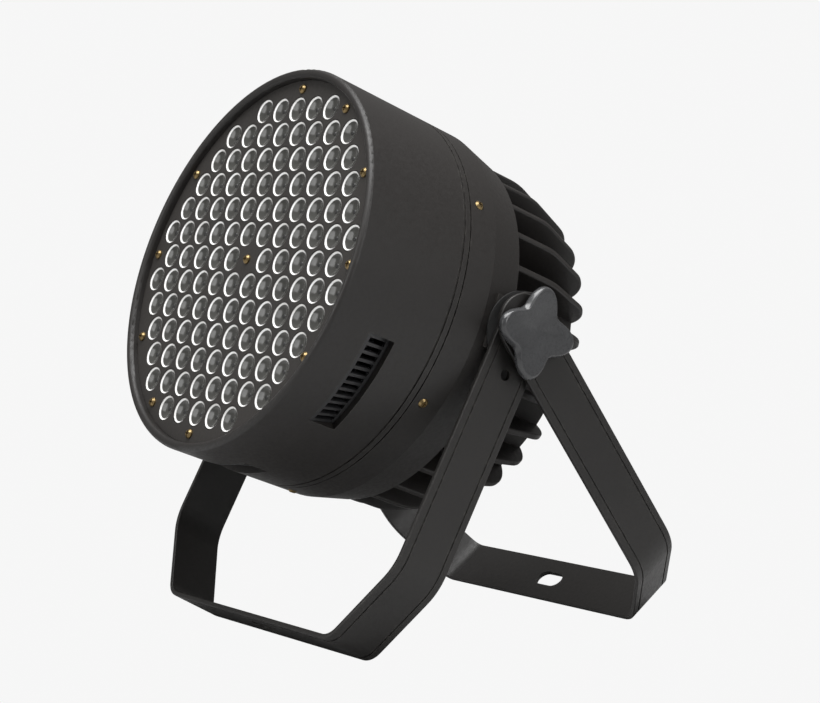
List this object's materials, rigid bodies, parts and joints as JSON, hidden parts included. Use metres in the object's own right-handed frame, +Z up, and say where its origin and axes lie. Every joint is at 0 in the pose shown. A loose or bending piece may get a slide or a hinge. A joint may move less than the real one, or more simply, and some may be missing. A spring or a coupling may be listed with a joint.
{
  "type": "par can light",
  "caption": "Round stage flood light with a lens array behind a lip, a finned rear drum, and two U-shaped yokes that clamp at the sides and serve as a floor stand.",
  "frame": {"origin": "on the floor, under the middle of the bounding box, with the light standing on its two yokes", "axes": "+Z up; +X along the tilt axis, to the right when facing the lenses; the beam points to -Y and 21.4 degrees up"},
  "size_m": [0.2768, 0.2957, 0.3429],
  "materials": {
    "housing_black": "satin powder coat",
    "yoke_black": "satin powder coat",
    "plate_black": "matt powder coat",
    "screw_gold": "yellow zinc plating",
    "screw_steel": "zinc plated",
    "clear_optic": "clear polished",
    "optic_holder": "moulded",
    "light_source": "clear dome on white base",
    "board_green": "solder resist",
    "board_white": "white solder resist",
    "bare_aluminium": "machined",
    "black_plastic": "moulded",
    "knob_plastic": "glossy moulded",
    "black_rubber": "matt",
    "component_mix": "moulded and printed parts",
    "button_grey": "moulded"
  },
  "bodies": {
    "can": {"centre_screw": "screw_gold", "centre_spacer": "screw_steel", "chassis_pillars": "bare_aluminium", "chassis_plate": "bare_aluminium", "chassis_screws": "screw_steel", "control_board": "board_green", "control_parts": "component_mix", "control_screws": "screw_steel", "control_standoffs": "screw_steel", "display_window": "clear_optic", "face_plate": "plate_black", "face_plate_screws": "screw_gold", "fan_frame": "black_plastic", "fan_screws": "screw_steel", "front_shroud": "housing_black", "heat_sink": "bare_aluminium", "heat_sink_screws": "screw_steel", "inlet_screws": "screw_steel", "led_board": "board_white", "led_board_screws": "screw_steel", "lens_holders": "optic_holder", "lenses": "clear_optic", "light_sources": "light_source", "pivot_bushes": "screw_steel", "pivot_discs": "black_rubber", "power_inlet": "black_plastic", "power_supply_board": "board_green", "power_supply_parts": "component_mix", "power_supply_screws": "screw_steel", "power_supply_standoffs": "screw_steel", "rear_housing": "housing_black", "rear_panel": "plate_black", "rear_panel_screws": "screw_gold", "seam_gasket": "black_rubber", "shroud_screws": "screw_gold", "signal_input_socket": "black_plastic", "signal_output_socket": "black_plastic", "socket_screws": "screw_steel", "vent_screen_bottom": "black_plastic", "vent_screen_left": "black_plastic", "vent_screen_right": "black_plastic"},
    "fan": {"fan_rotor": "black_plastic"},
    "front_yoke": {"front_yoke": "yoke_black", "yoke_liners": "black_rubber"},
    "rear_yoke": {"rear_yoke": "yoke_black"},
    "clamp_right": {"clamp_washer_right": "screw_steel"},
    "clamp_left": {"clamp_washer_left": "screw_steel"},
    "knob_right": {"knob_right": "knob_plastic", "knob_bolt_right": "screw_steel"},
    "knob_left": {"knob_left": "knob_plastic", "knob_bolt_left": "screw_steel"},
    "release_tab": {"signal_release_tab": "button_grey"},
    "fuse_drawer": {"fuse_drawer": "black_plastic", "fuse": "clear_optic"},
    "menu_button_1": {"menu_button_1": "button_grey"},
    "menu_button_2": {"menu_button_2": "button_grey"},
    "menu_button_3": {"menu_button_3": "button_grey"},
    "menu_button_4": {"menu_button_4": "button_grey"}
  },
  "joints": [
    {"name": "front_yoke_tilt", "type": "hinge", "parent": "can", "child": "front_yoke", "pos_m": [0, 0.01056, 0.18671], "axis": [1, 0, 0], "range_deg": [-250, 88]},
    {"name": "rear_yoke_tilt", "type": "hinge", "parent": "can", "child": "rear_yoke", "pos_m": [0, 0.01056, 0.18671], "axis": [1, 0, 0], "range_deg": [-315, 24]},
    {"name": "fan_spin", "type": "hinge", "parent": "can", "child": "fan", "pos_m": [0, -0.04343, 0.20792], "axis": [0, -0.9307, 0.3657], "continuous": true},
    {"name": "clamp_slide_right", "type": "slide", "parent": "can", "child": "clamp_right", "axis": [1, 0, 0], "range_m": [0, 0.0038]},
    {"name": "knob_turn_right", "type": "hinge", "parent": "clamp_right", "child": "knob_right", "pos_m": [0, 0.01056, 0.18671], "axis": [1, 0, 0], "range_deg": [0, 1080]},
    {"name": "clamp_slide_left", "type": "slide", "parent": "can", "child": "clamp_left", "axis": [-1, 0, 0], "range_m": [0, 0.0038]},
    {"name": "knob_turn_left", "type": "hinge", "parent": "clamp_left", "child": "knob_left", "pos_m": [0, 0.01056, 0.18671], "axis": [-1, 0, 0], "range_deg": [0, 1080]},
    {"name": "menu_button_1_press", "type": "slide", "parent": "can", "child": "menu_button_1", "axis": [0, -0.9307, 0.3657], "range_m": [0, 0.0008], "stiffness_N_per_m": 800},
    {"name": "menu_button_2_press", "type": "slide", "parent": "can", "child": "menu_button_2", "axis": [0, -0.9307, 0.3657], "range_m": [0, 0.0008], "stiffness_N_per_m": 800},
    {"name": "menu_button_3_press", "type": "slide", "parent": "can", "child": "menu_button_3", "axis": [0, -0.9307, 0.3657], "range_m": [0, 0.0008], "stiffness_N_per_m": 800},
    {"name": "menu_button_4_press", "type": "slide", "parent": "can", "child": "menu_button_4", "axis": [0, -0.9307, 0.3657], "range_m": [0, 0.0008], "stiffness_N_per_m": 800},
    {"name": "release_tab_press", "type": "slide", "parent": "can", "child": "release_tab", "axis": [0, -0.9307, 0.3657], "range_m": [0, 0.0012], "stiffness_N_per_m": 800},
    {"name": "fuse_drawer_pull", "type": "slide", "parent": "can", "child": "fuse_drawer", "axis": [0, 0.9307, -0.3657], "range_m": [0, 0.02]}
  ],
  "couplings": [
    {"joint": "clamp_slide_right", "follows": "knob_turn_right", "m_per_rad": 0.00019894},
    {"joint": "clamp_slide_left", "follows": "knob_turn_left", "m_per_rad": 0.00019894}
  ]
}
